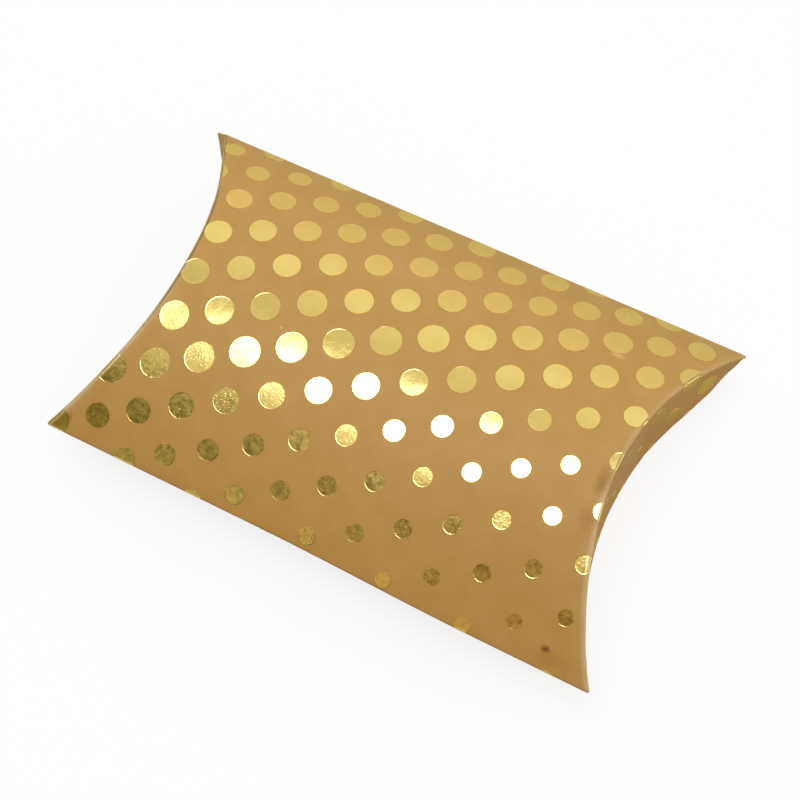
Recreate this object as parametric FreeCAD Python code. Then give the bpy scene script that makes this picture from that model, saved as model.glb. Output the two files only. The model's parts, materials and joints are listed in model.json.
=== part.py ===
import FreeCAD, Part
import math
import os

# Pillow box folded from one sheet of kraft board.
# X runs along the box from end to end, Y across it between the side folds, Z up.
# The origin is on the surface the box lies on, below its middle.

# The closed box, in millimetres.
FOLD_LENGTH = 150.0  # a side fold, between the points where the end creases would meet it
BOX_WIDTH = 92.0  # between the two side folds
BELLY_RISE = 16.0  # each arched panel, from the plane of the side folds to its crest
TIP_BLUNT = 1.6  # each corner tip is cut off square this far short of the end of the fold
REST_BAND = 14.0  # flat strip of the lower belly that settles on the table
CARD = 0.4  # thickness of the board

# The end flaps.
CREASE_GAP = 0.2  # score line between a panel and the flap that folds off it
FLAP_GAP = 0.3  # air between an outer flap and the inner flap behind it
OUTER_FLAP_SHORT = 1.0  # an outer flap's free edge stops this far above the lower crease
INNER_FLAP_SHORT = 1.0  # an inner flap's free edge stops this far below the side folds
OUTER_TIP_CUT = 2.2  # blunt tip of an outer flap, measured in from the side fold
INNER_TIP_CUT = 3.0  # blunt tip of an inner flap, measured in from the side fold

# The seam along the far side fold.
TAB_END_CLEAR = 13.0  # the tab stops this far short of each end of the fold
TAB_WIDTH = 12.0  # seam tab, up the inside of the top panel
TAB_TAPER = 4.0  # each end of the tab slants in by this much
GLUE_FILM = 0.1  # thickness of the glue
GLUE_INSET = 2.0  # the glue stays this far inside the outline of the tab

CUT_OVERRUN = 5.0  # every cutting shape runs past what it trims by this much

# Each panel is part of a round cylinder along X, and each end wall is part of an upright cylinder of
# the same radius, so panel and wall meet on a crease that lies in a plane at 45 degrees.
HALF_WIDTH = BOX_WIDTH / 2
BELLY_RADIUS = (HALF_WIDTH**2 + BELLY_RISE**2) / (2 * BELLY_RISE)
AXIS_DROP = BELLY_RADIUS - BELLY_RISE  # from the plane of the side folds to a panel's axis
REST_SAG = BELLY_RADIUS - math.sqrt(BELLY_RADIUS**2 - (REST_BAND / 2) ** 2)
FOLD_Z = BELLY_RISE - REST_SAG  # plane of the side folds above the table
TOP_Z = FOLD_Z + BELLY_RISE
UPPER_AXIS_Z = FOLD_Z - AXIS_DROP
LOWER_AXIS_Z = FOLD_Z + AXIS_DROP
END_AXIS_X = FOLD_LENGTH / 2 + AXIS_DROP

# Faces of the end wall from the outside in, as radii about the upright axis beyond the end.
OUTER_FLAP_FRONT = BELLY_RADIUS
OUTER_FLAP_BACK = OUTER_FLAP_FRONT + CARD
INNER_FLAP_FRONT = OUTER_FLAP_BACK + FLAP_GAP
INNER_FLAP_BACK = INNER_FLAP_FRONT + CARD

# Faces of the seam from the outside in, as radii about the upper panel's axis.
PANEL_INSIDE = BELLY_RADIUS - CARD
TAB_OUTSIDE = PANEL_INSIDE - GLUE_FILM
TAB_INSIDE = TAB_OUTSIDE - CARD

PAST_END = FOLD_LENGTH / 2 + CUT_OVERRUN
PAST_SIDE = HALF_WIDTH + CUT_OVERRUN

ENDS = ("right", "left")
ALONG_X = FreeCAD.Vector(1, 0, 0)


def face_of(edges):
    return Part.Face(Part.Wire(edges))


def along_box(face):
    """A cross-section drawn in the YZ plane, carried the full length of the box."""
    face.translate(ALONG_X * (-FOLD_LENGTH / 2))
    return face.extrude(ALONG_X * FOLD_LENGTH)


def cross_point(y, z):
    return FreeCAD.Vector(0, y, z)


def half_chord(radius, distance):
    """Half the chord that a circle cuts from a line at this distance from its centre."""
    return math.sqrt(radius**2 - distance**2)


def segment(radius, axis_z, chord_z, crest_z):
    """Circular segment between a level chord and the crest of its arc, in the YZ plane."""
    reach = half_chord(radius, chord_z - axis_z)
    near = cross_point(-reach, chord_z)
    far = cross_point(reach, chord_z)
    rise = Part.Arc(near, cross_point(0, crest_z), far).toShape()
    return face_of([rise, Part.LineSegment(far, near).toShape()])


def upper_bulk(radius):
    """Everything above the side folds and within this radius of the upper panel's axis."""
    return along_box(segment(radius, UPPER_AXIS_Z, FOLD_Z, UPPER_AXIS_Z + radius))


def level_slab(low_z, high_z, half_length=PAST_END, half_width=PAST_SIDE):
    """Flat slab between two heights, about the middle of the box."""
    corner = FreeCAD.Vector(-half_length, -half_width, low_z)
    return Part.makeBox(2 * half_length, 2 * half_width, high_z - low_z, corner)


def lower_bulk(radius, floor_z):
    """Everything below the side folds, within this radius of the lower axis and above a level floor."""
    whole = along_box(segment(radius, LOWER_AXIS_Z, FOLD_Z, LOWER_AXIS_Z - radius))
    return whole.common(level_slab(floor_z, FOLD_Z))


def end_column(radius, end):
    """Upright cylinder beyond one end of the box; its near side is the hollow face of the end wall."""
    foot = FreeCAD.Vector(END_AXIS_X, 0, -CUT_OVERRUN)
    column = Part.makeCylinder(radius, TOP_Z + 2 * CUT_OVERRUN, foot)
    if end == "left":
        column = column.mirror(FreeCAD.Vector(), ALONG_X)
    return column


def save(shape, node):
    shape.exportStep("parts/" + node + ".step")


def open_ended(tube, end_radius):
    """A panel trimmed along its curved creases, with its four tips cut blunt."""
    for end in ENDS:
        tube = tube.cut(end_column(end_radius, end))
    return tube.common(level_slab(0, TOP_Z + CUT_OVERRUN, FOLD_LENGTH / 2 - TIP_BLUNT))


def make_top_panel():
    shell = upper_bulk(BELLY_RADIUS).cut(upper_bulk(PANEL_INSIDE))
    return open_ended(shell, OUTER_FLAP_BACK + CREASE_GAP)


def make_bottom_panel():
    shell = lower_bulk(BELLY_RADIUS, 0).cut(lower_bulk(PANEL_INSIDE, CARD))
    return open_ended(shell, INNER_FLAP_BACK + CREASE_GAP)


def end_wall(front, back, end):
    return end_column(back, end).cut(end_column(front, end))


def make_outer_flap(end):
    """Lens that hangs from the top crease, its free edge a little flatter than the lower crease."""
    edge_rise = BELLY_RISE - OUTER_FLAP_SHORT
    edge_radius = (HALF_WIDTH**2 + edge_rise**2) / (2 * edge_rise)
    edge_z = FOLD_Z - edge_rise
    below_folds = along_box(segment(edge_radius, edge_z + edge_radius, FOLD_Z, edge_z))
    lens = upper_bulk(BELLY_RADIUS).fuse(below_folds).removeSplitter()
    blunt = level_slab(0, TOP_Z + CUT_OVERRUN, half_width=HALF_WIDTH - OUTER_TIP_CUT)
    return end_wall(OUTER_FLAP_FRONT, OUTER_FLAP_BACK, end).common(lens.common(blunt))


def make_inner_flap(end):
    """Half lens that stands on the lower crease, cut straight across just below the side folds."""
    blunt = level_slab(0, FOLD_Z - INNER_FLAP_SHORT, half_width=HALF_WIDTH - INNER_TIP_CUT)
    field = lower_bulk(BELLY_RADIUS, 0).common(blunt)
    return end_wall(INNER_FLAP_FRONT, INNER_FLAP_BACK, end).common(field)


def round_bar(radius, axis_z):
    """Round bar as long as the box, about the axis of one of the panels."""
    start = FreeCAD.Vector(-FOLD_LENGTH / 2, 0, axis_z)
    return Part.makeCylinder(radius, FOLD_LENGTH, start, ALONG_X)


def seam_band(inside, outside, inset):
    """Strip up the inside of the top panel, a tab's width from the far side fold, with slanted ends."""
    fold_angle = math.asin(HALF_WIDTH / BELLY_RADIUS)
    edge_angle = fold_angle - (TAB_WIDTH - inset) / TAB_OUTSIDE
    edge_y = TAB_OUTSIDE * math.sin(edge_angle)
    slant = TAB_TAPER / (HALF_WIDTH - edge_y)
    edge_half = FOLD_LENGTH / 2 - TAB_END_CLEAR - inset - TAB_TAPER
    past_half = edge_half + slant * (PAST_SIDE - edge_y)
    corners = [
        FreeCAD.Vector(-edge_half, edge_y, 0),
        FreeCAD.Vector(edge_half, edge_y, 0),
        FreeCAD.Vector(past_half, PAST_SIDE, 0),
        FreeCAD.Vector(-past_half, PAST_SIDE, 0),
    ]
    outline = Part.Face(Part.makePolygon(corners + corners[:1]))
    tab = outline.extrude(FreeCAD.Vector(0, 0, TOP_Z))
    pipe = round_bar(outside, UPPER_AXIS_Z).cut(round_bar(inside, UPPER_AXIS_Z))
    return pipe.common(tab)


def make_glue_flap():
    """Seam tab, which folds off the inner face of the bottom panel at the far side fold."""
    return seam_band(TAB_INSIDE, TAB_OUTSIDE, 0).common(round_bar(PANEL_INSIDE, LOWER_AXIS_Z))


def make_seam_glue():
    film = seam_band(TAB_OUTSIDE, PANEL_INSIDE, GLUE_INSET)
    return film.common(level_slab(FOLD_Z + GLUE_INSET, TOP_Z))


os.makedirs("parts", exist_ok=True)
save(make_top_panel(), "top_panel")
save(make_bottom_panel(), "bottom_panel")
save(make_glue_flap(), "glue_flap")
save(make_seam_glue(), "seam_glue")
for end in ENDS:
    save(make_outer_flap(end), end + "_outer_flap")
    save(make_inner_flap(end), end + "_inner_flap")
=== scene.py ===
import json

import bmesh
import bpy
import numpy as np
from mathutils import Matrix, Vector


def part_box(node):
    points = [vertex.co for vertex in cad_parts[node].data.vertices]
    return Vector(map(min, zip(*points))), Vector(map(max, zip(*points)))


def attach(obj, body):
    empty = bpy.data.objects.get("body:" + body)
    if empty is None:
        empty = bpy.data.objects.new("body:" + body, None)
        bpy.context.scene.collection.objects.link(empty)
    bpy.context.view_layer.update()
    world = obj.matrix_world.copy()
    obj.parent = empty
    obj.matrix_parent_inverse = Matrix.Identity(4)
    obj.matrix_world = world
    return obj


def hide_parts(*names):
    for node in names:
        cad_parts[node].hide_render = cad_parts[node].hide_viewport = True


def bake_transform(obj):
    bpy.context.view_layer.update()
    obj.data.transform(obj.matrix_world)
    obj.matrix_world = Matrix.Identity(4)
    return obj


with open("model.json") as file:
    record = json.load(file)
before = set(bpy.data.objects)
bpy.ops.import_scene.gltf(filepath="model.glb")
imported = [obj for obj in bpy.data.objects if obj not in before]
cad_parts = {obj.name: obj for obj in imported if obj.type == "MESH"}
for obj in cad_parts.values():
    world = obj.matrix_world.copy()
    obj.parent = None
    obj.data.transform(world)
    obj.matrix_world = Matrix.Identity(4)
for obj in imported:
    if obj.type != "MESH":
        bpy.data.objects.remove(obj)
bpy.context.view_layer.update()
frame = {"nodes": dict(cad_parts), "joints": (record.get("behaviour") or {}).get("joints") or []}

# Bottom panel: the lower belly of the box, one arched field of a die-cut sheet of brown kraft board.
# It runs on round the near side fold into the top panel, and its middle is pressed a little flat where
# the box lies on the table. Every other field of the sheet is folded by the same rules, given here.
mm = 0.001
board_thick = 0.4
bend_round = 0.95  # outside of a side fold, in millimetres like all sizes up to the mesh itself
crease_round = 0.44  # outside of an end crease
table_clear = 0.11  # the board lies on its raised print, so it is this far above the table
press_soft = 0.1
seam_gap = 0.15  # open joint along the far side fold, where the sheet's two ends meet
crease_strip = 1.0  # width of panel that is made together with the flap's bend
weld_gap = 0.002  # vertices closer than this become one
sharp_angle = 42  # degrees, past which an edge is drawn sharp
panel_rows = 61  # grid lines of a panel along the box, over a belly and round a fold
belly_columns = 105
fold_columns = 8

hinge = {joint["name"]: np.array(joint["pos_m"]) / mm for joint in frame["joints"]}
top_low, top_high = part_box("top_panel")
fold_height = top_low.z / mm
half_width = top_high.y / mm
crest_height = hinge["right_outer_swing"][2]
belly_rise = crest_height - fold_height
belly_radius = (half_width**2 + belly_rise**2) / (2 * belly_rise)
axis_drop = belly_radius - belly_rise
end_axis = hinge["right_outer_swing"][0] + belly_radius
inner_wall = end_axis - hinge["right_inner_swing"][0]
ball_way = belly_radius - bend_round
fold_tilt = np.arccos(axis_drop / ball_way)
belly_half = belly_radius * fold_tilt
sheet_half = belly_half + bend_round * (np.pi / 2 - fold_tilt)
fold_soft = 0.3  # the rounded folds stop this far short of the full width
widen = (half_width - fold_soft) / (ball_way * np.sin(fold_tilt) + bend_round)

# The box is folded by hand, so it is not quite even: these are millimetres at the place furthest out.
# Each fades in over a stretch of the length and of the width, which fold_up gives in millimetres too.
corner_pull = 1.0  # far left corner, drawn out to the left
seam_slip = 2.7  # bottom panel's far left corner, past the top panel's
left_short = 0.4  # left crease, nearer to the middle
right_long = 0.4  # right crease's near half, further out
right_blunt = 0.5  # far right corner, pushed in
near_spread = 1.0  # near fold, drawn out towards the right
wall_lean = 1.1  # foot of the right end wall, on its far side

# Marks along a crease, in millimetres from the start of its bend, or past its end for the rub and sheen's
# last.
rub_sheen_start, rub_sheen_full, rub_sheen_end = -1.3, -0.1, 0.7
rub_sheen_least = 0.3  # strength of the rub and painted sheen on the far half
rub_sheen_more_left, rub_sheen_more_right = 0.7, 0.4  # and how much is added to it on the near half
# painted shadow line just before the left crease's bend
crease_shade_line, crease_shade_width = -0.2, 0.25
# painted shadow of the scored line, on the foil
score_shadow_line, score_shadow_width = 0.05, 0.3
unshaded_place, unshaded_width = 31, 6  # across the box, where the left crease's painted shadow line is weak
unshaded_share = 0.8
lift_kept = 0.6  # share of its height that a lift keeps on the opened flap
most_slide = 1.5
least_steep = 0.05


def ease(value, low, high):
    """Smooth step: 0 below low, 1 above high, and 3t^2 - 2t^3 of the way between."""
    share = np.clip((value - low) / (high - low), 0, 1)
    return share * share * (3 - 2 * share)


def bell(value, middle, width):
    """Bell curve: 1 at the middle, and 1/e a width away from it."""
    return np.exp(-(((value - middle) / width) ** 2))


def cross_section(across):
    """The tube of board in the YZ plane, by distance across the flat sheet from the top crest.

    A belly is a circular arc. Near a side fold the line leaves it on a small circle that turns on to the
    nose of the fold. Past the near nose the sheet runs on as the lower belly, the same line upside down,
    with its height h above the table replaced by half of h plus the root of h squared plus a small square.
    """
    lower = across < -sheet_half
    from_crest = np.where(lower, -2 * sheet_half - across, across)
    on_belly = np.clip(from_crest / belly_radius, -fold_tilt, fold_tilt)
    tilt = on_belly + (from_crest - on_belly * belly_radius) / bend_round
    y = ball_way * np.sin(on_belly) + bend_round * np.sin(tilt)
    rise = ball_way * np.cos(on_belly) + bend_round * np.cos(tilt) - axis_drop
    height = fold_height - rise - table_clear
    pressed = np.hypot(height, press_soft)
    z = np.where(lower, table_clear + (height + pressed) / 2, fold_height + rise)
    give = np.where(lower, (1 + height / pressed) / 2, 1.0)
    normal = np.arctan2(give * np.sin(tilt), np.cos(tilt))
    side = np.where(lower, -1.0, 1.0)
    return y, z, np.sin(normal), side * np.cos(normal), side


def crease(across):
    """The rounded end crease at each place across the sheet.

    A ball as round as the crease rolls along inside the box and touches both the panel and the hollow end
    wall, an upright cylinder. Gives the middle of the ball, the wall's outward direction, and the angle
    that the board turns through from the panel to the wall.
    """
    y, z, normal_y, normal_z, side = cross_section(across)
    wall = np.where(side < 0, inner_wall, belly_radius) + crease_round
    ball_y = y - crease_round * normal_y
    ball_z = z - crease_round * normal_z
    ball_x = end_axis - np.sqrt(wall**2 - ball_y**2)
    wall_x = (end_axis - ball_x) / wall
    wall_y = -ball_y / wall
    turn = np.arccos(normal_y * wall_y)
    return ball_x, ball_y, ball_z, wall_x, wall_y, turn


def fold_up(along, across, lift):
    """Places of the flat sheet, folded into the box, with the marks that each carries.

    Along is the distance from the middle towards an end. Up to the crease the sheet lies on the panel,
    then it turns about the ball, by the sines of the angle done and the angle left, and then it hangs
    straight down the end wall, or stands up it on the lower half. Lift is a height above the outer face.
    The swing of a flap's point is the share of the flap's turn that it makes about the straight hinge:
    with d the crease's depth below the hinge and e its own depth, 4/pi times the angle of e over d,
    less 1, which bends the flap flat along the whole curved crease. A lift also slides down the wall,
    so far that it keeps six tenths of its height on the opened flap. The score shadow is a narrow bell
    along the pressed line where a bend starts, a painted shadow on the foil. The crease shade is one
    just before it on the left crease's far part, a painted shadow line on the board. The wear and sheen
    is the band over the whole bend, strongest on the near half: partly the board rubbed paler, partly a
    painted sheen.
    """
    z, normal_y, normal_z, side = cross_section(across)[1:]
    ball_x, ball_y, ball_z, wall_x, wall_y, turn = crease(across)
    reach = np.abs(along)
    roll = np.clip((reach - ball_x) / crease_round, 0, turn)
    left = np.sin(turn - roll) / np.sin(turn)
    done = np.sin(roll) / np.sin(turn)
    hang = np.maximum(reach - ball_x - crease_round * turn, 0)
    out = crease_round + lift
    place_x = np.minimum(reach, ball_x) + out * done * wall_x
    place_y = widen * (ball_y + out * (left * normal_y + done * wall_y))
    place_z = ball_z + out * left * normal_z - side * hang
    hinge_z = np.where(side < 0, hinge["right_inner_swing"][2], crest_height)
    depth = np.abs(hinge_z - (ball_z + crease_round * left * normal_z - side * hang))
    crease_depth = np.abs(hinge_z - z)
    swing = np.clip(np.arctan2(depth, crease_depth) * 4 / np.pi - 1, 0, 1) * roll / turn
    opened = swing * np.pi / 2
    steep = np.abs(normal_z)
    facing_up = done * wall_x * np.sin(opened) + left * steep * np.cos(opened)
    facing = facing_up * steep + (left * normal_y + done * wall_y) * normal_y
    way_down = np.maximum(steep * np.cos(opened), least_steep)
    slide = np.clip((lift_kept - facing) / way_down, 0, most_slide)
    place_z = place_z + side * lift * slide
    pull = corner_pull * ease(place_y, 22, 41) * ease(place_x, 35, 70)
    slip = seam_slip * ease(place_y, 22, 40) * ease(place_x, 55, 66)
    pull = pull + np.where(side < 0, slip * (1 - ease(hang, 0, 1.2)), 0)
    short = left_short * (1 - ease(place_y, 10, 30)) * (1 - ease(-place_y, 12, 34))
    pull = pull - short * ease(place_x, 35, 60)
    stretch = right_long * ease(-place_y, 0, 20) * (1 - ease(-place_y, 32, 44)) * ease(place_x, 35, 60)
    stretch = stretch - right_blunt * ease(place_y, 35, half_width) * ease(place_x, 60, 70)
    lean = wall_lean * ease(place_y, 14, 32) * (1 - ease(place_y, 34, 45))
    lean = lean * ease(place_x, 40, 58) * np.where(side < 0, 1, ease(hang, 0, 14))
    place_x = np.where(along < 0, -place_x - pull, place_x + lean + stretch)
    place_y = place_y - near_spread * ease(-place_y, 15, half_width) * ease(place_x, -15, 45)
    from_bend = reach - ball_x
    past_bend = from_bend - crease_round * turn
    rub_sheen_more = np.where(along < 0, rub_sheen_more_left, rub_sheen_more_right)
    rub_and_sheen = rub_sheen_least + rub_sheen_more * ease(-place_y, -5, 15)
    unshaded_part = unshaded_share * bell(place_y, unshaded_place, unshaded_width)
    crease_shaded = np.where(along < 0, ease(place_y, -20, -6) * (1 - unshaded_part), 0)
    marks = {
        "swing": swing,
        # partly rubbed paler, partly a painted sheen, over the whole bend
        "wear_and_sheen": rub_and_sheen * ease(from_bend, rub_sheen_start, rub_sheen_full) * (1 - ease(past_bend, 0, rub_sheen_end)),
        # painted shadow line on the left crease's far part
        "crease_shade": crease_shaded * bell(from_bend, crease_shade_line, crease_shade_width),
        # painted shadow along the scored line, used on the foil
        "score_shadow": bell(from_bend, score_shadow_line, score_shadow_width),
    }
    return np.stack([place_x, place_y, place_z], -1), marks


def new_piece(name, places, faces, sheet, marks, finishes, finish_of_face):
    """Mesh object from places in millimetres, with its sheet place and its marks kept at each vertex."""
    mesh = bpy.data.meshes.new(name)
    mesh.from_pydata(places.reshape(-1, 3) * mm, [], faces)
    for finish in finishes:
        mesh.materials.append(finish)
    mesh.polygons.foreach_set("material_index", np.asarray(finish_of_face, np.int32))
    mesh.attributes.new("sheet", "FLOAT_VECTOR", "POINT").data.foreach_set("vector", sheet.ravel() * mm)
    for label, values in marks.items():
        mesh.attributes.new(label, "FLOAT", "POINT").data.foreach_set("value", values.ravel())
    work = bmesh.new()
    work.from_mesh(mesh)
    bmesh.ops.remove_doubles(work, verts=work.verts, dist=weld_gap * mm)
    bmesh.ops.dissolve_degenerate(work, edges=work.edges, dist=weld_gap / 2 * mm)
    work.to_mesh(mesh)
    work.free()
    mesh.shade_smooth()
    mesh.set_sharp_from_angle(angle=np.radians(sharp_angle))
    piece = bpy.data.objects.new(name, mesh)
    bpy.context.scene.collection.objects.link(piece)
    return piece


def board_field(name, along, across, finishes):
    """One field of the sheet: its outer face, its inner face a board's thickness in, and the cut edges.

    Along and across are grids of sheet places, along growing with the first index and across with the
    second, so that the outer faces point outwards on every field of the sheet.
    """
    rows, columns = along.shape
    outer, marks = fold_up(along, across, 0.0)
    inner = fold_up(along, across, -board_thick)[0]
    spot = np.arange(rows * columns).reshape(rows, columns)
    deep = spot + rows * columns
    face_out = np.stack([spot[:-1, :-1], spot[1:, :-1], spot[1:, 1:], spot[:-1, 1:]], -1).reshape(-1, 4)
    face_in = face_out[:, ::-1] + rows * columns
    edges = [
        (spot[1:, 0], spot[:-1, 0], deep[:-1, 0], deep[1:, 0]),
        (spot[:-1, -1], spot[1:, -1], deep[1:, -1], deep[:-1, -1]),
        (spot[0, :-1], spot[0, 1:], deep[0, 1:], deep[0, :-1]),
        (spot[-1, 1:], spot[-1, :-1], deep[-1, :-1], deep[-1, 1:]),
    ]
    face_edge = np.concatenate([np.stack(edge, -1) for edge in edges])
    faces = np.concatenate([face_out, face_in, face_edge]).tolist()
    finish = [0] * len(face_out) + [1] * (len(face_in) + len(face_edge))
    sheet = np.stack([along, across, np.zeros_like(along)], -1)
    return new_piece(
        name,
        np.stack([outer, inner]),
        faces,
        np.stack([sheet, sheet]),
        {label: np.stack([values, values]) for label, values in marks.items()},
        finishes,
        finish,
    )


def across_steps(low, high):
    """Places across one belly from nose to nose, closer together on the round of each fold."""
    belly = np.linspace(low + sheet_half - belly_half, high - sheet_half + belly_half, belly_columns)
    near = np.linspace(low, belly[0], fold_columns)[:-1]
    far = np.linspace(belly[-1], high, fold_columns)[1:]
    return np.concatenate([near, belly, far])


def new_node(tree, kind, x, y, **settings):
    """A shader node at a place of the node editor, with its own settings."""
    node = tree.nodes.new(kind)
    node.location = (x, y)
    for key, value in settings.items():
        setattr(node, key, value)
    return node


def new_group(name, sockets):
    """Empty shader node group with named sockets, given as (name, in or out, kind, default)."""
    group = bpy.data.node_groups.new(name, "ShaderNodeTree")
    for label, way, kind, default in sockets:
        way_name = {"in": "INPUT", "out": "OUTPUT"}[way]
        socket = group.interface.new_socket(label, in_out=way_name, socket_type="NodeSocket" + kind)
        if default is not None:
            socket.default_value = default
    ins = new_node(group, "NodeGroupInput", -900, 0)
    outs = new_node(group, "NodeGroupOutput", 900, 0)
    return group, ins, outs


def new_math(tree, operation, x, y, first, second=None):
    """A math node fed by sockets or plain numbers."""
    node = new_node(tree, "ShaderNodeMath", x, y, operation=operation)
    for socket, value in zip(node.inputs, (first, second)):
        if value is None:
            continue
        if isinstance(value, (int, float)):
            socket.default_value = value
        else:
            tree.links.new(value, socket)
    return node.outputs[0]


def new_noise(tree, x, y, vector, scale, detail, roughness, warp=0.0):
    """A noise texture read at a vector, with a plain or linked scale."""
    node = new_node(tree, "ShaderNodeTexNoise", x, y)
    tree.links.new(vector, node.inputs["Vector"])
    if isinstance(scale, (int, float)):
        node.inputs["Scale"].default_value = scale
    else:
        tree.links.new(scale, node.inputs["Scale"])
    node.inputs["Detail"].default_value = detail
    node.inputs["Roughness"].default_value = roughness
    node.inputs["Distortion"].default_value = warp
    return node.outputs["Fac"]


# Paper grain: cloudy patches where the pulp lies thicker, and short fibres that run mostly along the
# sheet. Scales are per metre, so the clouds are some millimetres wide and the fibres well under one.
grain, grain_in, grain_out = new_group(
    "board_grain",
    [
        ("Place", "in", "Vector", None),
        ("Cloud Scale", "in", "Float", 160.0),
        ("Fibre Scale", "in", "Float", 900.0),
        ("Cloud", "out", "Float", None),
        ("Fibre", "out", "Float", None),
        ("Height", "out", "Float", None),
    ],
)
cloud = new_noise(grain, -500, 300, grain_in.outputs["Place"], grain_in.outputs["Cloud Scale"], 4.0, 0.55)
fibre_ways = []
for turn_deg, lane in ((9, 0), (-24, -300)):
    lay = new_node(grain, "ShaderNodeMapping", -700, lane)
    lay.inputs["Rotation"].default_value = (0, 0, np.radians(turn_deg))
    lay.inputs["Scale"].default_value = (1.0, 4.5, 1.0)
    grain.links.new(grain_in.outputs["Place"], lay.inputs["Vector"])
    fibre_ways.append(
        new_noise(grain, -500, lane, lay.outputs[0], grain_in.outputs["Fibre Scale"], 3.0, 0.6, 0.4)
    )
fibre = new_math(grain, "MAXIMUM", -200, -100, fibre_ways[0], fibre_ways[1])
tooth = new_noise(grain, -500, -600, grain_in.outputs["Place"], 5200.0, 2.0, 0.5)
height = new_math(grain, "ADD", 200, -300, fibre, new_math(grain, "MULTIPLY", 0, -500, tooth, 0.5))
grain.links.new(cloud, grain_out.inputs["Cloud"])
grain.links.new(fibre, grain_out.inputs["Fibre"])
grain.links.new(height, grain_out.inputs["Height"])


def new_finish(name, place_attribute):
    """A material with an empty Principled shader and the vector that its patterns are read at."""
    finish = bpy.data.materials.new(name)
    finish.use_nodes = True
    tree = finish.node_tree
    tree.nodes.clear()
    shader = new_node(tree, "ShaderNodeBsdfPrincipled", 900, 0)
    surface = new_node(tree, "ShaderNodeOutputMaterial", 1200, 0)
    tree.links.new(shader.outputs["BSDF"], surface.inputs["Surface"])
    if place_attribute:
        place = new_node(tree, "ShaderNodeAttribute", -1100, 0, attribute_name=place_attribute)
        vector = place.outputs["Vector"]
    else:
        vector = new_node(tree, "ShaderNodeTexCoord", -1100, 0).outputs["Object"]
    return finish, tree, shader, vector


def put_group(tree, group, x, y, vector, **values):
    """A node group placed in a material, read at a vector and with its own values."""
    node = new_node(tree, "ShaderNodeGroup", x, y, node_tree=group)
    tree.links.new(vector, node.inputs["Place"])
    for label, value in values.items():
        node.inputs[label.replace("_", " ")].default_value = value
    return node


def tint(tree, x, y, share, first, second, mode="MIX"):
    """Mix of two colours, each a plain colour or a socket, by a share that changes over the surface."""
    node = new_node(tree, "ShaderNodeMix", x, y, data_type="RGBA", blend_type=mode)
    tree.links.new(share, node.inputs["Factor"])
    for socket, value in ((node.inputs["A"], first), (node.inputs["B"], second)):
        if isinstance(value, tuple):
            socket.default_value = value + (1.0,)
        else:
            tree.links.new(value, socket)
    return node.outputs["Result"]


def spread(tree, x, y, value, low, high, to_low, to_high):
    """A value's range stretched to another, and held at its ends."""
    node = new_node(tree, "ShaderNodeMapRange", x, y, clamp=True)
    tree.links.new(value, node.inputs["Value"])
    for label, number in (("From Min", low), ("From Max", high), ("To Min", to_low), ("To Max", to_high)):
        node.inputs[label].default_value = number
    return node.outputs["Result"]


def emboss(tree, x, y, height_socket, depth, shader, under=None):
    """Bump from a height between 0 and 1, depth in millimetres, over another bump if there is one."""
    node = new_node(tree, "ShaderNodeBump", x, y)
    node.inputs["Strength"].default_value = 1.0
    node.inputs["Distance"].default_value = depth * mm
    tree.links.new(height_socket, node.inputs["Height"])
    if under is not None:
        tree.links.new(under, node.inputs["Normal"])
    tree.links.new(node.outputs["Normal"], shader.inputs["Normal"])
    return node.outputs["Normal"]


# Soft spot: a patch about a place on the sheet, as wide as its reach, with a patchy edge, used for
# handling marks and for painted shade and sheen.
soft_spot, mark_in, mark_out = new_group(
    "soft_spot",
    [
        ("Place", "in", "Vector", None),
        ("Centre", "in", "Vector", None),
        ("Reach", "in", "Vector", (0.001, 0.001, 0.001)),
        ("Mask", "out", "Float", None),
    ],
)
offset = new_node(soft_spot, "ShaderNodeVectorMath", -600, 0, operation="SUBTRACT")
soft_spot.links.new(mark_in.outputs["Place"], offset.inputs[0])
soft_spot.links.new(mark_in.outputs["Centre"], offset.inputs[1])
scaled = new_node(soft_spot, "ShaderNodeVectorMath", -400, 0, operation="DIVIDE")
soft_spot.links.new(offset.outputs[0], scaled.inputs[0])
soft_spot.links.new(mark_in.outputs["Reach"], scaled.inputs[1])
away = new_node(soft_spot, "ShaderNodeVectorMath", -200, 0, operation="LENGTH")
soft_spot.links.new(scaled.outputs[0], away.inputs[0])
patchy = new_noise(soft_spot, -400, -300, mark_in.outputs["Place"], 900.0, 3.0, 0.6)
patches = new_math(soft_spot, "MULTIPLY", -200, -300, patchy, 0.8)
edge = new_math(soft_spot, "ADD", 0, 0, away.outputs["Value"], patches)
soft_spot.links.new(spread(soft_spot, 300, 0, edge, 1.3, 0.4, 0.0, 1.0), mark_out.inputs["Mask"])

# Outer face of the board: calendered brown kraft with a faint sheen. It is paler along each crease, partly
# rubbed and partly a painted sheen, with a painted shadow line on the left crease. It is marked by
# handling in a few places and carries broad patches of painted shade and sheen, all given on the flat
# sheet.
kraft_dark = (0.410, 0.230, 0.055)
kraft_light = (0.444, 0.256, 0.070)
kraft_fibre = (0.487, 0.298, 0.098)
# pale crease band, partly rubbed board and partly a painted sheen; also a painted sheen patch
kraft_rub_and_sheen = (0.54, 0.42, 0.23)
# dark smudges from handling, and a broad painted shade
kraft_soil_and_shade = (0.27, 0.14, 0.02)
# painted shadow line along the left crease
kraft_crease_shade = (0.19, 0.125, 0.025)
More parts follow.
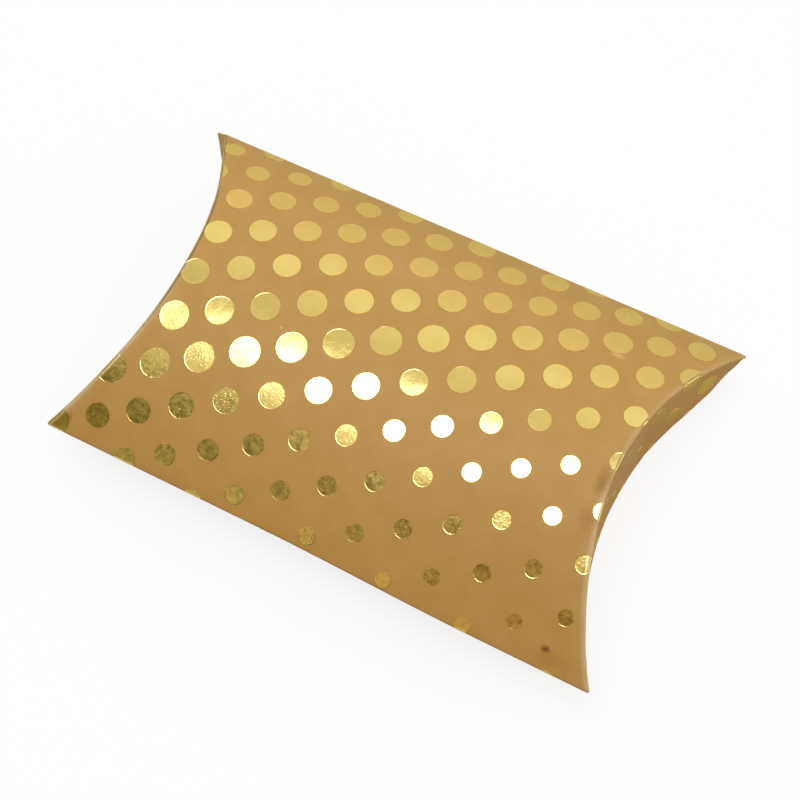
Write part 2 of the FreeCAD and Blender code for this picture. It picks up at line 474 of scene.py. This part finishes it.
# painted shade: greyer and darker along the far fold
kraft_far_shade = (0.30, 0.24, 0.085)
kraft_stained = (0.13, 0.042, 0.001)
foil_dust = (0.70, 0.50, 0.20)
kraft_face, tree, shader, place = new_finish("kraft_outer_face", "sheet")
face_grain = put_group(tree, grain, -800, 200, place, Cloud_Scale=150.0, Fibre_Scale=820.0)
face_cloud = spread(tree, -550, 300, face_grain.outputs["Cloud"], 0.3, 0.7, 0.0, 1.0)
colour = tint(tree, -300, 300, face_cloud, kraft_dark, kraft_light)
face_fibre = spread(tree, -550, 0, face_grain.outputs["Fibre"], 0.52, 0.8, 0.0, 0.25)
colour = tint(tree, -50, 200, face_fibre, colour, kraft_fibre)
# Band over each bend, paler: partly rubbed board, partly a painted sheen.
rub_and_sheen = new_node(tree, "ShaderNodeAttribute", -800, -300, attribute_name="wear_and_sheen").outputs["Fac"]
rub_sheen_share = spread(tree, -500, -400, face_cloud, 0.0, 1.0, 0.6, 1.0)
rub_and_sheen = new_math(tree, "MULTIPLY", -300, -200, rub_and_sheen, rub_sheen_share)
colour = tint(tree, 200, 100, rub_and_sheen, colour, kraft_rub_and_sheen)
# Painted shadow line along the left crease.
crease_shade = new_node(tree, "ShaderNodeAttribute", -800, -500, attribute_name="crease_shade").outputs["Fac"]
colour = tint(tree, 300, 100, crease_shade, colour, kraft_crease_shade)
# Handling marks and patches of painted shade and sheen: place and reach on the sheet in millimetres,
# colour and strength.
marks_and_painted_light = (
    ((57.2, -4.3), (2.3, 5.6), kraft_soil_and_shade, 1.0),
    ((57.7, -13.1), (3.4, 4.6), kraft_soil_and_shade, 0.6),
    # painted shade: a broad darker patch on the near right of the top panel
    ((48.0, -28.0), (44.0, 22.0), kraft_soil_and_shade, 0.22),
    # painted shade: a greyer, darker strip along the far fold
    ((0.0, 51.0), (300.0, 16.0), kraft_far_shade, 0.3),
    # painted sheen: a paler patch over the far half of the top panel
    ((-10.0, 28.0), (75.0, 15.0), kraft_rub_and_sheen, 0.1),
    ((63.0, -45.5), (7.5, 3.6), kraft_soil_and_shade, 0.35),
    ((61.2, -43.8), (1.5, 1.3), kraft_stained, 1.0),
    ((-68.8, -44.4), (1.3, 2.0), kraft_soil_and_shade, 0.8),
    ((46.6, 28.5), (2.6, 1.1), foil_dust, 0.6),
    ((-28.3, -2.5), (0.45, 0.6), foil_dust, 0.8),
)
for (along_mark, across_mark), (along_reach, across_reach), mark_colour, strength in marks_and_painted_light:
    mark = put_group(
        tree,
        soft_spot,
        0,
        600,
        place,
        Centre=(along_mark * mm, across_mark * mm, 0),
        Reach=(along_reach * mm, across_reach * mm, 1),
    )
    share = new_math(tree, "MULTIPLY", 200, 600, mark.outputs["Mask"], strength)
    colour = tint(tree, 400, 300, share, colour, mark_colour)
tree.links.new(colour, shader.inputs["Base Color"])
sheen = spread(tree, 200, -150, face_grain.outputs["Fibre"], 0.3, 0.8, 0.5, 0.66)
tree.links.new(sheen, shader.inputs["Roughness"])
shader.inputs["Specular IOR Level"].default_value = 0.3
emboss(tree, 600, -300, face_grain.outputs["Height"], 0.006, shader)

# Inner face and cut edges: the same board without the calendered face, paler, rougher and more fibrous.
raw_dark = (0.42, 0.24, 0.085)
raw_light = (0.58, 0.37, 0.16)
raw_fibre = (0.68, 0.48, 0.25)


def raw_board(name, place_attribute):
    """Bare board, with its pattern read on the sheet or in space."""
    finish, tree, shader, place = new_finish(name, place_attribute)
    raw_grain = put_group(tree, grain, -800, 200, place, Cloud_Scale=240.0, Fibre_Scale=600.0)
    raw_cloud = spread(tree, -550, 300, raw_grain.outputs["Cloud"], 0.3, 0.7, 0.0, 1.0)
    colour = tint(tree, -300, 300, raw_cloud, raw_dark, raw_light)
    raw_strand = spread(tree, -550, 0, raw_grain.outputs["Fibre"], 0.5, 0.75, 0.0, 0.6)
    colour = tint(tree, -50, 200, raw_strand, colour, raw_fibre)
    tree.links.new(colour, shader.inputs["Base Color"])
    raw_sheen = spread(tree, 200, -150, raw_grain.outputs["Fibre"], 0.3, 0.8, 0.75, 0.92)
    tree.links.new(raw_sheen, shader.inputs["Roughness"])
    shader.inputs["Specular IOR Level"].default_value = 0.25
    emboss(tree, 600, -300, raw_grain.outputs["Height"], 0.02, shader)
    return finish


board_finishes = [kraft_face, raw_board("kraft_raw_face", "sheet")]
lower_steps = across_steps(-3 * sheet_half + seam_gap, -sheet_half)
lower_ends = crease(lower_steps)[0] - crease_strip
length_share = np.linspace(-1, 1, panel_rows)
bottom_board = board_field(
    "bottom_panel_board",
    length_share[:, None] * lower_ends[None, :],
    np.broadcast_to(lower_steps, (panel_rows, len(lower_steps))),
    board_finishes,
)
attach(bottom_board, "carton")
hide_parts("bottom_panel")

# Seam tab and glue: the tab is folded off the bottom panel's far edge and stuck up the inside of the top
# panel with a film of white glue, dried clear and a little yellow. Both keep their CAD shape.
tab_raw = raw_board("kraft_raw_tab", None)
glue_thin = (0.62, 0.50, 0.30)
glue_thick = (0.80, 0.74, 0.58)
dry_glue, tree, shader, place = new_finish("dry_glue_film", None)
glue_grain = put_group(tree, grain, -800, 200, place, Cloud_Scale=420.0, Fibre_Scale=500.0)
glue_cloud = spread(tree, -550, 300, glue_grain.outputs["Cloud"], 0.3, 0.7, 0.0, 1.0)
tree.links.new(tint(tree, -300, 300, glue_cloud, glue_thin, glue_thick), shader.inputs["Base Color"])
tree.links.new(spread(tree, 200, -150, glue_cloud, 0.0, 1.0, 0.3, 0.5), shader.inputs["Roughness"])
emboss(tree, 600, -300, glue_cloud, 0.03, shader)

for node_name, finish in (("glue_flap", tab_raw), ("seam_glue", dry_glue)):
    for holder in frame["nodes"][node_name].material_slots:
        holder.material = finish

# Top panel: the upper belly, the same field of the sheet mirrored at the near side fold. Its far edge is
# cut, and is glued down over the tab so that the joint runs along the far side fold.
upper_steps = across_steps(-sheet_half, sheet_half)
upper_ends = crease(upper_steps)[0] - crease_strip
top_board = board_field(
    "top_panel_board",
    length_share[:, None] * upper_ends[None, :],
    np.broadcast_to(upper_steps, (panel_rows, len(upper_steps))),
    board_finishes,
)
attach(top_board, "carton")
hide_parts("top_panel")

# Inner end flaps: half lenses folded up from the bottom panel's creases, cut straight across just below
# the side folds. Each is bent hollow by its curved crease.
inner_cut_short = 1.0
outer_cut_short = 1.0
flap_tip = 2.0  # a flap's corners slant off over this much of the crease
strip_steps = (-1.0, -0.65, -0.5, -0.38, -0.25, -0.12)
bend_steps = np.concatenate([strip_steps, np.linspace(0, 1, 10), np.linspace(1, 2, 15)[1:]])


def wall_height(across):
    """How far each place's end wall reaches from its crease to the flap's free edge.

    An outer flap's free edge is an arc about as deep as the box's lower half, an inner flap's is straight.
    Both run out to nothing at the corners of the panel.
    """
    ball_y, ball_z = crease(across)[1:3]
    edge_rise = belly_rise - outer_cut_short
    edge_radius = (half_width**2 + edge_rise**2) / (2 * edge_rise)
    arc_edge = fold_height - np.sqrt(edge_radius**2 - ball_y**2) + edge_radius - edge_rise
    straight_edge = fold_height - inner_cut_short
    lower = across < -sheet_half
    height = np.where(lower, straight_edge - ball_z, ball_z - arc_edge)
    from_crest = np.where(lower, -2 * sheet_half - across, across)
    return np.maximum(height, 0) * np.clip((belly_half - np.abs(from_crest)) / flap_tip, 0, 1)


def flap_field(name, end, steps):
    """One flap with its bend, from a strip of panel over the crease to the free edge, at one end."""
    ball_x, *_, turn = crease(steps)
    way = bend_steps[:, None]
    reach = ball_x + np.minimum(way, 0) * crease_strip
    reach = reach + np.clip(way, 0, 1) * crease_round * turn
    reach = reach + np.clip(way - 1, 0, 1) * wall_height(steps)
    along = reach if end == "right" else -reach[::-1]
    return board_field(name, along, np.broadcast_to(steps, along.shape), board_finishes)


def swing_with(piece):
    """Bakes a piece's transform into its mesh and reads the swing kept at each of its vertices, which
    bends nothing.
    """
    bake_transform(piece)
    share = np.zeros(len(piece.data.vertices), np.float32)
    piece.data.attributes["swing"].data.foreach_get("value", share)


for end in ("right", "left"):
    flap = flap_field(end + "_inner_flap_board", end, lower_steps)
    swing_with(flap)
    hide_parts(end + "_inner_flap")

# Outer end flaps: full lenses folded down from the top panel's creases over the inner flaps, with a free
# edge a little flatter than the lower crease. The right one is the end wall that the photograph shows.
for end in ("right", "left"):
    flap = flap_field(end + "_outer_flap_board", end, upper_steps)
    swing_with(flap)
    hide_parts(end + "_outer_flap")

# Foil dots: gold foil stamped hot into the printed side of the flat sheet, so each dot is a shallow dish
# with a raised lip. The rows run at a slant across the sheet, swell to one full row and shrink again.
first_dot = np.array([-12.65, -12.96])  # places on the sheet: along from the middle, across from the crest
dot_step = np.array([9.867, 5.655])  # from dot to dot in a row
row_step = np.array([10.99, -6.777])  # from row to row, towards the near right corner
full_row = -1
full_dot = 7.7
small_dot = 4.0
rows_in_wave = 17
bell_rows, bell_power = 2.4, 1.5  # how the dots shrink towards the near side
grow_slope, grow_bend = 0.15, 0.02  # and how they grow from the far side
dot_reach = 40  # dots and rows counted each way from the first, past every edge of the sheet
dot_uneven = 0.035  # the dots differ by this share of their width
rim_points = 24
foil_sunk = -0.02  # height of a dot's outer edge over the board
foil_floor = 0.03
foil_lip = 0.07  # where it is highest, since the die bit deeper on the near left
floor_end = 0.22  # the floor is even up to this far inside the edge
lip_foot = 0.12  # the lip rises this far inside the edge
lip_top = 0.025
bite_way = 240  # degrees round the dot from the right, where the lip is highest
foil_inset = 0.02  # the foil stops this far inside a cut edge
least_sliver = 0.4  # a dot that shows less of itself than this past the sheet's sides is left out
least_flap_sliver = 0.6  # and past a flap's free edge
tip_reach = 70  # no dot at the far tips from here on
fold_clear = 1.0  # a dot this near to the near fold gets the finer grid
belly_clear = 0.2
just_below = 1e-6  # puts a place on the lower side of the near nose


def dot_width(row):
    """Width of the dots in a row, by its distance from the nearest full row of the wave.

    Towards the near side it falls off as a bell with a long foot, towards the far side as a parabola.
    """
    past = (row - full_row) % rows_in_wave
    before = rows_in_wave - past
    shrinking = small_dot + (full_dot - small_dot) * np.exp(-((past / bell_rows) ** bell_power))
    growing = full_dot - grow_slope * before - grow_bend * before**2
    return np.maximum(shrinking, growing)


def crept(place):
    """Dot places after the print has crept: up to two millimetres near the folds, by powers of the place.

    The far edge creeps towards the middle by the cube of the place across, its corners also along the
    box. The middle of the near edge creeps out and to the left by the fourth power, and its corners
    slip out round the fold on the right.
    """
    along = np.clip(place[:, 0] / 60, -1.2, 1.2)
    across = np.clip(place[:, 1] / 45, -1.07, 1.05)
    far = np.maximum(across, 0)
    near = np.maximum(-across, 0)
    mid_near = near**4 * np.maximum(1 - along**2, 0)
    round_fold = 2.3 * np.maximum(along, 0) ** 4 * ease(near, 1.0, 1.07)
    creep_along = 0.2 * along**2 - 1.25 * along**3 * far - 1.7 * mid_near
    creep_across = 0.3 - 0.5 * along**2 * (1 - near) - 2.1 * far**3 - 1.1 * mid_near - round_fold
    return place + np.stack([creep_along, creep_across], -1)


counted = np.arange(-dot_reach, dot_reach + 1)
index_i, index_j = [grid.ravel() for grid in np.meshgrid(counted, counted)]
dot_place = crept(first_dot + index_i[:, None] * dot_step + index_j[:, None] * row_step)
uneven = 1 + dot_uneven * np.sin(12.9 * index_i + 4.7 * index_j)
dot_radius = dot_width(index_j) * uneven / 2
around = np.linspace(0, 2 * np.pi, rim_points, endpoint=False)
low_edge = -3 * sheet_half + seam_gap


def sheet_reach(across):
    """How far the cut sheet reaches along at each place across, to the free edge of its flap."""
    ball_x, *_, turn = crease(across)
    return ball_x + crease_round * turn + wall_height(across)


rim_along = dot_place[:, :1] + dot_radius[:, None] * np.cos(around)
rim_across = dot_place[:, 1:] + dot_radius[:, None] * np.sin(around)
rim_across = np.clip(rim_across, low_edge, sheet_half)
on_sheet = dot_place[:, 1] > low_edge - dot_radius + least_sliver
on_sheet &= dot_place[:, 1] < sheet_half + dot_radius - least_sliver
on_sheet &= (sheet_reach(rim_across) - np.abs(rim_along)).max(1) > least_flap_sliver
upper_dot = dot_place[:, 1] > -sheet_half
past_tip = (dot_place[:, 1] > half_width) & (np.abs(dot_place[:, 0]) > tip_reach)
on_sheet &= ~past_tip
rim_half = np.where(
    upper_dot[:, None],
    np.clip(rim_across, -sheet_half, sheet_half),
    np.clip(rim_across, low_edge, -sheet_half - just_below),
)
past_crease = (np.abs(rim_along) - crease(rim_half)[0]).max(1) > -crease_strip
from_nose = rim_across + sheet_half
near_fold = (np.abs(from_nose) < fold_clear).any(1)
near_fold |= (from_nose.min(1) < 0) & (from_nose.max(1) > 0)
near_fold |= (rim_across > belly_half - belly_clear).any(1)
near_fold |= (rim_across < low_edge + sheet_half - belly_half).any(1)


def foil_dishes(name, chosen, fine, across_low, across_high, finish):
    """Dishes of foil on the chosen dots.

    Each is a polar grid: a floor from the middle out, a narrow lip that rises near the edge by a cosine
    of half the way round, and a skirt down into the board, closed below. Places past a cut edge are
    held at it.
    """
    place, radius = dot_place[chosen], dot_radius[chosen]
    floor_rings = 11 if fine else 1
    turns = 40 if fine else 16
    floor_share = np.linspace(0, 1, floor_rings + 1)[1:]
    floor_ring = (radius[:, None] - floor_end) * floor_share
    ring = np.concatenate([floor_ring, radius[:, None] - np.array([lip_foot, lip_top, 0.0])], 1)
    angle = np.arange(turns) * 2 * np.pi / turns
    bite = np.sqrt((1 + np.cos(angle - np.radians(bite_way))) / 2)
    lip = foil_floor + (foil_lip - foil_floor) * bite
    lift = np.concatenate([np.full((floor_rings + 1) * turns, foil_floor), lip, np.full(turns, foil_sunk)])
    along = place[:, :1, None] + ring[:, :, None] * np.cos(angle)
    across = place[:, 1:, None] + ring[:, :, None] * np.sin(angle)
    count, rings = ring.shape
    along = np.concatenate([place[:, :1], along.reshape(count, -1)], 1)
    across = np.concatenate([place[:, 1:], across.reshape(count, -1)], 1)
    lift = np.concatenate([[foil_floor], lift])
    across = np.clip(across, across_low, across_high)
    reach = sheet_reach(across) - foil_inset
    along = np.clip(along, -reach, reach)
    places, marks = fold_up(along, across, lift[None, :])
    first = np.arange(count) * (1 + rings * turns)
    here = np.arange(turns)
    onward = (here + 1) % turns
    fan = np.stack([np.zeros_like(here), 1 + here, 1 + onward], -1)
    band = np.stack([1 + here, 1 + turns + here, 1 + turns + onward, 1 + onward], -1)
    bands = [band + k * turns for k in range(rings - 1)]
    cap = (1 + (rings - 1) * turns + here)[::-1]
    faces = []
    for part in (fan, np.concatenate(bands), cap[None, :]):
        faces += (first[:, None, None] + part).reshape(-1, part.shape[1]).tolist()
    sheet = np.stack([along, across, np.zeros_like(along)], -1)
    piece = new_piece(name, places, faces, sheet, marks, [finish], [0] * len(faces))
    even = piece.modifiers.new("even_shading", "WEIGHTED_NORMAL")
    even.keep_sharp = True
    return piece


foil_deep = (0.86, 0.65, 0.205)
foil_pale = (0.90, 0.69, 0.235)
foil_score_shadow = (0.30, 0.18, 0.04)  # painted shadow in the scored line of a crease
foil_rub_and_sheen = (1.0, 0.88, 0.48)  # dull and pale over its bend, the pale partly rubbed foil and partly a painted sheen
rub_dulls = 0.6  # roughness of the foil where it is rubbed most
slope_start, slope_full = -18 * mm, -26 * mm  # places across the sheet
fold_start, fold_end = -47 * mm, -41 * mm
smooth_end, pitted_start = -5 * mm, -18 * mm
gold_foil, tree, shader, place = new_finish("gold_foil_stamping", "sheet")
foil_grain = put_group(tree, grain, -800, 200, place, Cloud_Scale=330.0, Fibre_Scale=480.0)
foil_cloud = spread(tree, -550, 300, foil_grain.outputs["Cloud"], 0.3, 0.7, 0.0, 1.0)
colour = tint(tree, -300, 300, foil_cloud, foil_deep, foil_pale)
# On the near slope, short of the fold, the die pressed unevenly, so the foil is blotchy there.
sheet_parts = new_node(tree, "ShaderNodeSeparateXYZ", -800, -1700)
tree.links.new(place, sheet_parts.inputs[0])
across_sheet = sheet_parts.outputs["Y"]
on_slope = spread(tree, -550, -1700, across_sheet, slope_start, slope_full, 0.0, 1.0)
off_fold = spread(tree, -550, -1850, across_sheet, fold_start, fold_end, 0.3, 1.0)
uneven_press = new_math(tree, "MULTIPLY", -350, -1700, on_slope, off_fold)
blotch = new_noise(tree, -800, -2000, place, 560.0, 5.0, 0.75)
blotch = spread(tree, -550, -2000, blotch, 0.39, 0.61, 0.6, 1.28)
colour = tint(tree, -150, 300, uneven_press, colour, blotch, "MULTIPLY")
# Band over each bend, paler and duller: partly rubbed foil, partly a painted sheen.
rub_and_sheen = new_node(tree, "ShaderNodeAttribute", -800, -650, attribute_name="wear_and_sheen").outputs["Fac"]
colour = tint(tree, -80, 300, rub_and_sheen, colour, foil_rub_and_sheen)
# Painted shadow: the foil is darkened along the scored line of each crease.
pressed = new_node(tree, "ShaderNodeAttribute", -800, -500, attribute_name="score_shadow").outputs["Fac"]
colour = tint(tree, 0, 300, new_math(tree, "MULTIPLY", -200, 0, pressed, 0.8), colour, foil_score_shadow)
tree.links.new(colour, shader.inputs["Base Color"])
polish = spread(tree, 200, -150, foil_grain.outputs["Fibre"], 0.3, 0.8, 0.12, 0.2)
dulled = new_math(tree, "MULTIPLY", 200, -300, rub_and_sheen, rub_dulls)
tree.links.new(new_math(tree, "MAXIMUM", 400, -150, polish, dulled), shader.inputs["Roughness"])
shader.inputs["Metallic"].default_value = 1.0
shader.inputs["Specular Tint"].default_value = (1.0, 0.84, 0.45, 1.0)
# Bumps: wide waves of the board, crinkles of the foil, and pits, most of them on the near side.
wave = new_noise(tree, -550, -500, place, 190.0, 1.0, 0.5)
waves = emboss(tree, 100, -700, wave, 0.06, shader)
crinkle = new_noise(tree, -550, -800, place, 1100.0, 1.0, 0.5)
crinkles = emboss(tree, 350, -600, crinkle, 0.014, shader, waves)
pits = new_noise(tree, -550, -1100, place, 1700.0, 2.0, 0.6)
pits = spread(tree, -300, -1100, pits, 0.56, 0.8, 0.0, 1.0)
pitted = new_noise(tree, -550, -1400, place, 75.0, 1.0, 0.5)
pitted = spread(tree, -300, -1400, pitted, 0.42, 0.62, 0.2, 1.0)
near_pits = spread(tree, -300, -1600, across_sheet, smooth_end, pitted_start, 0.15, 1.0)
pitted = new_math(tree, "MULTIPLY", -100, -1400, pitted, near_pits)
emboss(tree, 600, -300, new_math(tree, "MULTIPLY", 100, -1200, pits, pitted), 0.04, shader, crinkles)

panel_dots = on_sheet & ~past_crease
inside_low, inside_high = low_edge + foil_inset, sheet_half - foil_inset
upper_low, lower_high = foil_inset - sheet_half, -sheet_half - foil_inset
flat_dots = panel_dots & ~near_fold
foil_plain = foil_dishes("foil_dots_panels", flat_dots, False, inside_low, inside_high, gold_foil)
bent_dots = panel_dots & near_fold
foil_bent = foil_dishes("foil_dots_over_folds", bent_dots, True, inside_low, inside_high, gold_foil)
for dots in (foil_plain, foil_bent):
    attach(dots, "carton")
for end, way in (("right", 1), ("left", -1)):
    at_end = on_sheet & past_crease & (dot_place[:, 0] * way > 0)
    chosen = at_end & upper_dot
    outer_name = "foil_dots_" + end + "_outer"
    outer_dots = foil_dishes(outer_name, chosen, True, upper_low, inside_high, gold_foil)
    swing_with(outer_dots)
    chosen = at_end & ~upper_dot
    inner_name = "foil_dots_" + end + "_inner"
    inner_dots = foil_dishes(inner_name, chosen, True, inside_low, lower_high, gold_foil)
    swing_with(inner_dots)

# Floor: a wide pale sweep under the box that runs out into white. Seen directly it is mostly plain white
# with a soft part of the box's shadow. The foil shows it as the grey paper that it is, with painted shade:
# darker near the box than further out, and darker still past the right end, where the wall would shade it.
floor_mesh = bpy.data.meshes.new("white_floor")
floor_half = 2.0
corners = np.array([(-1, -1, 0), (1, -1, 0), (1, 1, 0), (-1, 1, 0)]) * floor_half
floor_mesh.from_pydata(corners.tolist(), [], [(0, 1, 2, 3)])
floor = bpy.data.objects.new("white_floor", floor_mesh)
bpy.context.scene.collection.objects.link(floor)
white = bpy.data.materials.new("white_sweep")
white.use_nodes = True
tree = white.node_tree
tree.nodes.clear()
matt = new_node(tree, "ShaderNodeBsdfDiffuse", 0, 100)
glow = new_node(tree, "ShaderNodeEmission", 0, -100)
glow.inputs["Color"].default_value = (1, 1, 1, 1)
glow.inputs["Strength"].default_value = 1.0
ray = new_node(tree, "ShaderNodeLightPath", -600, 300)
paper_grey = (0.56, 0.56, 0.55)
paper_white = (0.93, 0.93, 0.93)
paper_shaded = (0.39, 0.39, 0.38)
shade_start, shade_full = 0.05, 0.065  # metres to the right of the middle
on_floor = new_node(tree, "ShaderNodeTexCoord", -1200, 600).outputs["Object"]
from_box = new_node(tree, "ShaderNodeVectorMath", -800, 600, operation="LENGTH")
tree.links.new(on_floor, from_box.inputs[0])
from_box = from_box.outputs["Value"]
floor_parts = new_node(tree, "ShaderNodeSeparateXYZ", -1000, 300)
tree.links.new(on_floor, floor_parts.inputs[0])
# Painted shade: past the right end the paper is darker, in the foil's reflections only.
shaded = spread(tree, -800, 300, floor_parts.outputs["X"], shade_start, shade_full, 0.0, 1.0)
shaded = new_math(tree, "MULTIPLY", -600, 100, shaded, ray.outputs["Is Glossy Ray"])
# Shares of plain white, for the camera and for the foil.
white_seen = spread(tree, -600, 600, from_box, 0.25, 0.9, 0.83, 1.0)
# Painted shade: in the foil the paper is darker near the box, whiter further out.
white_mirrored = spread(tree, -600, 900, from_box, 0.3, 1.0, 0.05, 0.6)
paper = tint(tree, -300, 100, ray.outputs["Is Camera Ray"], paper_grey, paper_white)
paper = tint(tree, -150, 0, shaded, paper, paper_shaded)
tree.links.new(paper, matt.inputs["Color"])
is_glossy, is_through = ray.outputs["Is Glossy Ray"], ray.outputs["Is Transmission Ray"]
mirrored = new_math(tree, "MAXIMUM", -400, 200, is_glossy, is_through)
mirrored = new_math(tree, "MULTIPLY", -200, 200, mirrored, white_mirrored)
seen = new_math(tree, "MULTIPLY", -200, 400, ray.outputs["Is Camera Ray"], white_seen)
blend = new_node(tree, "ShaderNodeMixShader", 300, 0)
tree.links.new(new_math(tree, "ADD", 100, 300, seen, mirrored), blend.inputs["Fac"])
tree.links.new(matt.outputs[0], blend.inputs[1])
tree.links.new(glow.outputs[0], blend.inputs[2])
tree.links.new(blend.outputs[0], new_node(tree, "ShaderNodeOutputMaterial", 600, 0).inputs["Surface"])
floor_mesh.materials.append(white)

# Studio: one oval soft light overhead, which fades towards its rim like a cloth stretched over a bulb, and
# a room that is pale behind the box and dim in front, a little greener on the left than on the right.
soft_light = bpy.data.lights.new("soft_light", "AREA")
soft_light.shape = "ELLIPSE"
soft_light.size = 0.90
soft_light.size_y = 0.58
soft_light.color = (0.84, 0.855, 1.0)  # a cool daylight white
soft_level = 5.25  # brightness of its middle, where 1 is white
soft_light.energy = soft_level * np.pi * soft_light.size * soft_light.size_y
soft_light.use_nodes = True
tree = soft_light.node_tree
tree.nodes.clear()
on_cloth = new_node(tree, "ShaderNodeNewGeometry", -900, 0)
from_middle = new_node(tree, "ShaderNodeVectorMath", -700, 0, operation="SUBTRACT")
from_middle.inputs[1].default_value = (0.5, 0.5, 0)
tree.links.new(on_cloth.outputs["Parametric"], from_middle.inputs[0])
to_rim = new_node(tree, "ShaderNodeVectorMath", -500, 0, operation="LENGTH")
tree.links.new(from_middle.outputs[0], to_rim.inputs[0])
fade = spread(tree, -300, 0, to_rim.outputs["Value"], 0.25, 0.458, 1.0, 0.0)
fade.node.interpolation_type = "SMOOTHSTEP"
cloth = new_node(tree, "ShaderNodeEmission", 0, 0)
tree.links.new(fade, cloth.inputs["Strength"])
tree.links.new(cloth.outputs[0], new_node(tree, "ShaderNodeOutputLight", 300, 0).inputs["Surface"])
lamp = bpy.data.objects.new("soft_light", soft_light)
lamp.location = (-0.035, 0.012, 0.9)
bpy.context.scene.collection.objects.link(lamp)

room = bpy.data.worlds.new("pale_room")
bpy.context.scene.world = room
room.use_nodes = True
tree = room.node_tree
tree.nodes.clear()
way_to = new_node(tree, "ShaderNodeTexCoord", -900, 0)
parts = new_node(tree, "ShaderNodeSeparateXYZ", -700, 0)
tree.links.new(way_to.outputs["Generated"], parts.inputs[0])
lean = new_math(tree, "ARCTAN2", -500, 0, parts.outputs["Y"], parts.outputs["Z"])
level = spread(tree, -300, 0, lean, -np.pi / 2, np.pi / 2, 0.0, 1.0)
ramp = new_node(tree, "ShaderNodeValToRGB", -100, 0)
tree.links.new(level, ramp.inputs["Fac"])
plain = (1.0, 1.0, 1.0)
straw = (1.0, 0.97, 0.84)
pale = (1.0, 0.98, 0.91)
cream = (1.0, 0.90, 0.80)
near_right, near_left = (1.0, 0.67, 0.37), (1.0, 0.96, 0.65)
dim_olive = (0.17, 0.145, 0.045)
right_gain = (2.1, 2.1, 2.1)
# Degrees from straight up, less than 0 towards the near side, with the room's brightness and colour.
room_levels = (
    (-90, 0.55, plain),
    (-66, 0.60, plain),
    (-57, 0.55, plain),
    (-51, 0.38, plain),
    (-45, 0.33, plain),
    (-28, 0.33, plain),
    (-24.5, 0.43, plain),
    (-21, 0.58, straw),
    (-16, 0.68, straw),
    (-8, 0.72, straw),
    (18, 0.60, straw),
    (28, 0.80, straw),
    (34, 0.90, pale),
    (41, 0.98, pale),
    (48, 0.94, pale),
    (56, 0.87, cream),
    (66, 0.80, cream),
    (90, 0.69, cream),
)
stops = ramp.color_ramp.elements
while len(stops) < len(room_levels):
    stops.new(0.5)
for stop, (degrees, grey, shade) in zip(stops, room_levels):
    stop.position = (degrees + 90) / 180
    stop.color = tuple(grey * part for part in shade) + (1,)
leftward = spread(tree, -300, -300, parts.outputs["X"], -0.10, -0.32, 0.0, 1.0)
near_shade = tint(tree, -100, -300, leftward, near_right, near_left)
near_side = spread(tree, -300, -600, lean, np.radians(-16), np.radians(-28), 0.0, 1.0)
room_colour = tint(tree, 100, -100, near_side, ramp.outputs["Color"], near_shade, "MULTIPLY")
far_left = spread(tree, -300, -900, parts.outputs["X"], -0.33, -0.39, 0.0, 1.0)
low_near = spread(tree, -300, -1200, lean, np.radians(-28), np.radians(-42), 0.0, 1.0)
dim_corner = new_math(tree, "MULTIPLY", -100, -900, far_left, low_near)
room_colour = tint(tree, 200, -300, dim_corner, room_colour, dim_olive)
low_right = spread(tree, -300, -1500, parts.outputs["X"], 0.4, 0.75, 0.0, 1.0)
room_colour = tint(tree, 250, -600, low_right, room_colour, right_gain, "MULTIPLY")
ray = new_node(tree, "ShaderNodeLightPath", 0, 300)
room_colour = tint(tree, 280, 300, ray.outputs["Is Camera Ray"], room_colour, plain)
sky = new_node(tree, "ShaderNodeBackground", 300, 0)
tree.links.new(room_colour, sky.inputs["Color"])
tree.links.new(sky.outputs[0], new_node(tree, "ShaderNodeOutputWorld", 500, 0).inputs["Surface"])

# Camera: above the near right corner, looking steeply down and rolled a little, as in the photograph.
azimuth, elevation, roll_angle = np.radians([37.36, 67.92, -10.72])
distance = 0.3888
aim = np.array([2.26, -1.58, fold_height]) * mm
flat = np.cos(elevation)
back = np.array([np.sin(azimuth) * flat, -np.cos(azimuth) * flat, np.sin(elevation)])
level_right = np.cross(-back, [0, 0, 1])
level_right /= np.linalg.norm(level_right)
level_up = np.cross(level_right, -back)
right = np.cos(roll_angle) * level_right + np.sin(roll_angle) * level_up
up = -np.sin(roll_angle) * level_right + np.cos(roll_angle) * level_up
lens = bpy.data.cameras.new("camera")
lens.sensor_width = 36.0
lens.lens = 71.0
lens.clip_start = 0.01
camera = bpy.data.objects.new("camera", lens)
turn_to = Matrix((right, up, back)).transposed().to_4x4()
camera.matrix_world = Matrix.Translation(Vector(aim + back * distance)) @ turn_to
bpy.context.scene.collection.objects.link(camera)
bpy.context.scene.camera = camera
bpy.context.scene.view_settings.view_transform = "Standard"
